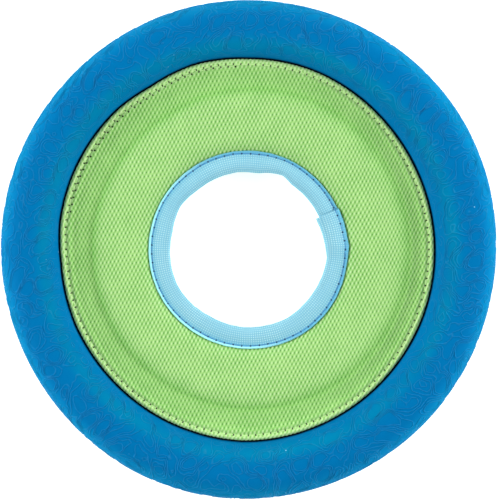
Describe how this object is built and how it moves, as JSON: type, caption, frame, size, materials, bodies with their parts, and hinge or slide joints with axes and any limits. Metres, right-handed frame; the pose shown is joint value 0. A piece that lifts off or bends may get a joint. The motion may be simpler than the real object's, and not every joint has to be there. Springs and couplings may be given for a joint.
{
  "type": "flying ring",
  "caption": "Soft flying ring: a foam-rubber rim round a sewn cloth centre over a thin foam core, with a tape-bound grip hole.",
  "frame": {"origin": "on the ring's axis, in the plane of the rim's lower land, which the ring lies on", "axes": "+Z along the axis, up through the grip hole from the lower land to the upper one; +X outwards just before the lapped joint of the hole binding, whose tail covers its head from 4 to 24.5 degrees towards +Y"},
  "size_m": [0.216, 0.216, 0.025],
  "materials": {
    "rim_foam_rubber": "skinned foam rubber, moulded with a low wandering contour-line relief, satin",
    "flange_rubber": "dense sheet rubber, black and dull, cut as a flat strip and bonded into the rim's groove",
    "core_foam": "closed-cell foam sheet, die cut, fine-pored and dull",
    "panel_cloth": "heavy basket-weave nylon, bright green, soft sheen on the yarns",
    "binding_tape": "plain-woven light blue tape, folded lengthwise in half",
    "green_thread": "bonded polyester sewing thread, green like the cloth",
    "blue_thread": "bonded polyester sewing thread, a deeper blue than the tape"
  },
  "bodies": {
    "root": {"rim": "rim_foam_rubber", "sewing_flange": "flange_rubber", "foam_core": "core_foam", "upper_panel": "panel_cloth", "lower_panel": "panel_cloth", "hole_binding": "binding_tape", "rim_seam_needle_thread": "green_thread", "rim_seam_bobbin_thread": "green_thread", "hole_seam_needle_thread": "blue_thread", "hole_seam_bobbin_thread": "blue_thread"}
  },
  "joints": []
}
